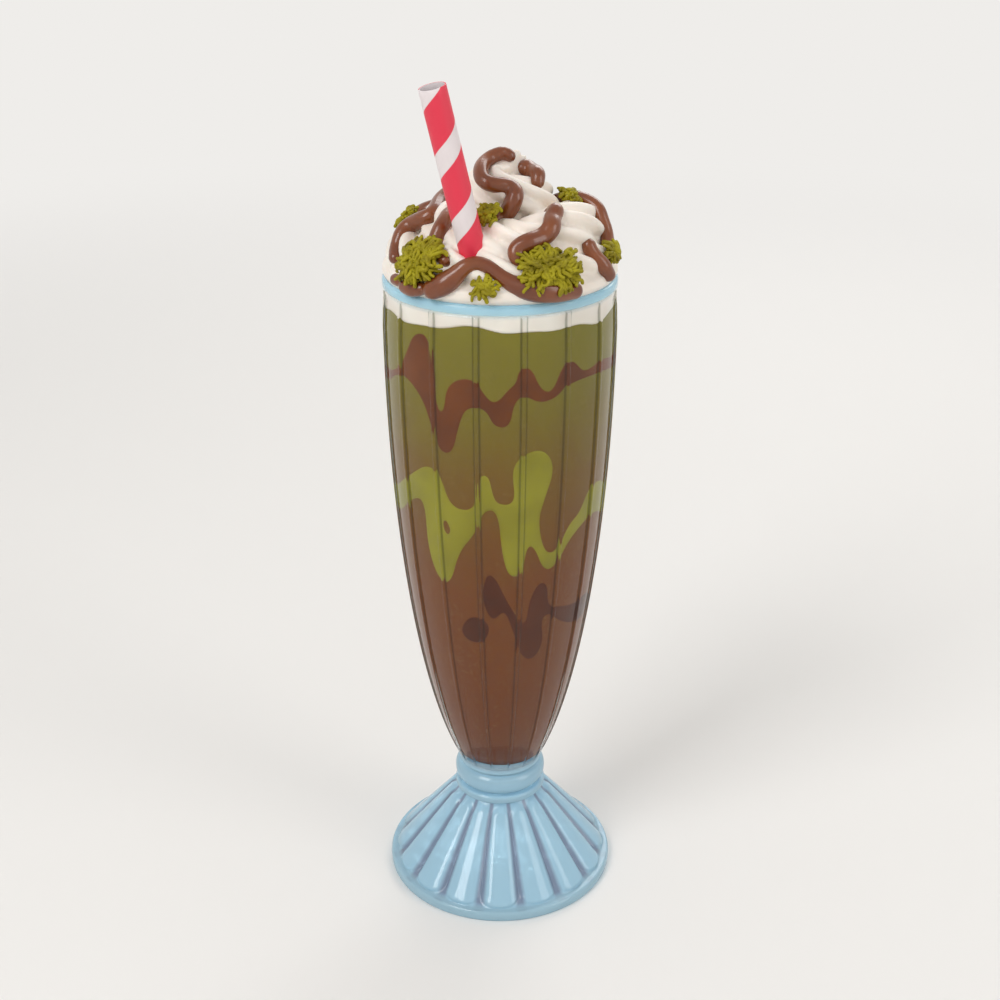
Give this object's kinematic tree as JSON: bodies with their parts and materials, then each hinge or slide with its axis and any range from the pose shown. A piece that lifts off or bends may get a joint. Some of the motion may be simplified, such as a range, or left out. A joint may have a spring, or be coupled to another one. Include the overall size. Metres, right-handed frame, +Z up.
{
  "type": "milkshake",
  "caption": "Tall footed soda glass of pistachio and chocolate milkshake, heaped with piped cream, pastry shreds and chocolate sauce, with a striped paper straw.",
  "frame": {"origin": "centre of the foot's resting ring, on the surface the glass stands on", "axes": "+Z up the glass to the cream; -Y is the front, where the straw leans out to the left; +X right"},
  "size_m": [0.0802, 0.0802, 0.2815],
  "materials": {
    "glass": "clear",
    "chocolate_shake": "smooth",
    "pistachio_shake": "smooth",
    "whipped_cream": "soft",
    "straw": "striped paper",
    "kataifi": "crisp shreds"
  },
  "bodies": {
    "root": {"glass": "glass", "chocolate_shake": "chocolate_shake", "pistachio_shake": "pistachio_shake", "whipped_cream": "whipped_cream", "straw": "straw", "kataifi_left_large": "kataifi", "kataifi_right_large": "kataifi", "kataifi_front_small": "kataifi", "kataifi_right_edge": "kataifi", "kataifi_right_top": "kataifi", "kataifi_back_left": "kataifi", "kataifi_by_straw": "kataifi"}
  },
  "joints": []
}
